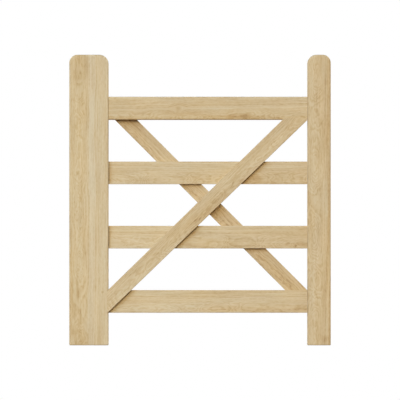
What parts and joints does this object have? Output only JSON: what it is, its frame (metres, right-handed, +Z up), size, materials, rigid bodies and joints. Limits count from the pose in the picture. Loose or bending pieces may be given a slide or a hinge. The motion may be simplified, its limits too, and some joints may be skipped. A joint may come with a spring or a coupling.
{
  "type": "fence gate leaf",
  "caption": "Oak fence gate leaf with rounded stiles, mortised rails and a crossed front and back brace, wedged and pegged together, without hinges or latch",
  "frame": {"origin": "On the ground under the middle of the leaf: halfway across its width and its thickness, level with the feet of the stiles.", "axes": "+Z up along the stiles, +X along the rails from the hanging stile to the closing stile, +Y from the show face with the front brace to the back face."},
  "size_m": [0.9, 0.07, 1],
  "materials": {
    "oak_stile": "planed",
    "oak_rail": "planed",
    "oak_brace": "planed",
    "oak_wedge": "sawn",
    "oak_peg": "cleft",
    "stainless_screw": "satin"
  },
  "bodies": {
    "root": {"hanging_stile": "oak_stile", "closing_stile": "oak_stile", "top_rail": "oak_rail", "upper_middle_rail": "oak_rail", "lower_middle_rail": "oak_rail", "bottom_rail": "oak_rail", "front_brace": "oak_brace", "back_brace": "oak_brace", "top_rail_hanging_wedges": "oak_wedge", "top_rail_hanging_peg": "oak_peg", "top_rail_closing_wedges": "oak_wedge", "top_rail_closing_peg": "oak_peg", "upper_middle_rail_hanging_wedges": "oak_wedge", "upper_middle_rail_hanging_peg": "oak_peg", "upper_middle_rail_closing_wedges": "oak_wedge", "upper_middle_rail_closing_peg": "oak_peg", "lower_middle_rail_hanging_wedges": "oak_wedge", "lower_middle_rail_hanging_peg": "oak_peg", "lower_middle_rail_closing_wedges": "oak_wedge", "lower_middle_rail_closing_peg": "oak_peg", "bottom_rail_hanging_wedges": "oak_wedge", "bottom_rail_hanging_peg": "oak_peg", "bottom_rail_closing_wedges": "oak_wedge", "bottom_rail_closing_peg": "oak_peg", "front_brace_upper_middle_screw": "stainless_screw", "front_brace_lower_middle_screw": "stainless_screw", "front_brace_bottom_screw": "stainless_screw", "back_brace_upper_middle_screw": "stainless_screw", "back_brace_lower_middle_screw": "stainless_screw", "back_brace_bottom_screw": "stainless_screw"}
  },
  "joints": []
}
